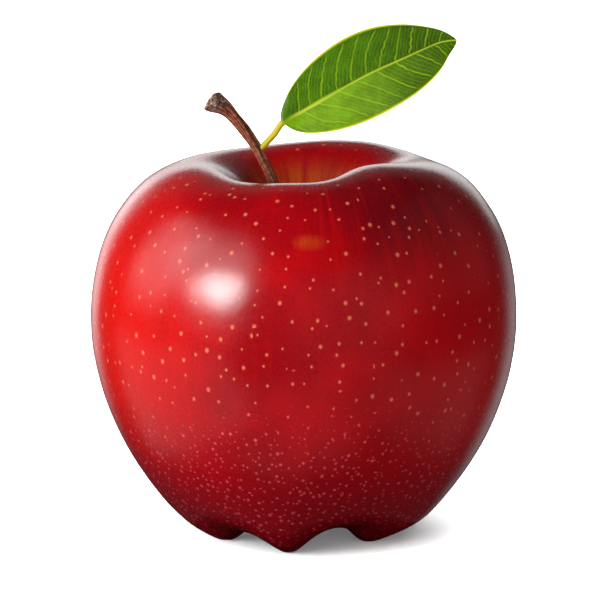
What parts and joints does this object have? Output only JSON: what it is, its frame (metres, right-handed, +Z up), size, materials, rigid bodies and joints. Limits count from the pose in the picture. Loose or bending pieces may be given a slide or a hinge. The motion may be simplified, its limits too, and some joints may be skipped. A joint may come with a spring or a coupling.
{
  "type": "apple",
  "caption": "Whole ripe red apple with its woody stem, a single green leaf and the dried calyx underneath, standing on its own lobed base.",
  "frame": {"origin": "middle of the base, on the surface the fruit stands on", "axes": "+Z up along the core, +X to the right and -Y to the front, where one foot points"},
  "size_m": [0.0797, 0.0797, 0.0972],
  "materials": {
    "skin": "glossy waxed apple skin, deep red with pale lenticels; gloss_plastic stands for the waxy gloss",
    "bark": "rough reddish-brown bark with a grey broken end",
    "leaf": "semi-gloss green leaf with a yellow stalk and midrib; leather stands for the waxy leaf",
    "dried_sepal": "matt, dry and downy brown",
    "dried_stamens": "matt, dry dark brown"
  },
  "bodies": {
    "root": {"fruit_body": "skin", "stem": "bark", "leaf": "leaf", "sepal_1": "dried_sepal", "sepal_2": "dried_sepal", "sepal_3": "dried_sepal", "sepal_4": "dried_sepal", "sepal_5": "dried_sepal", "stamen_tuft": "dried_stamens"}
  },
  "joints": []
}
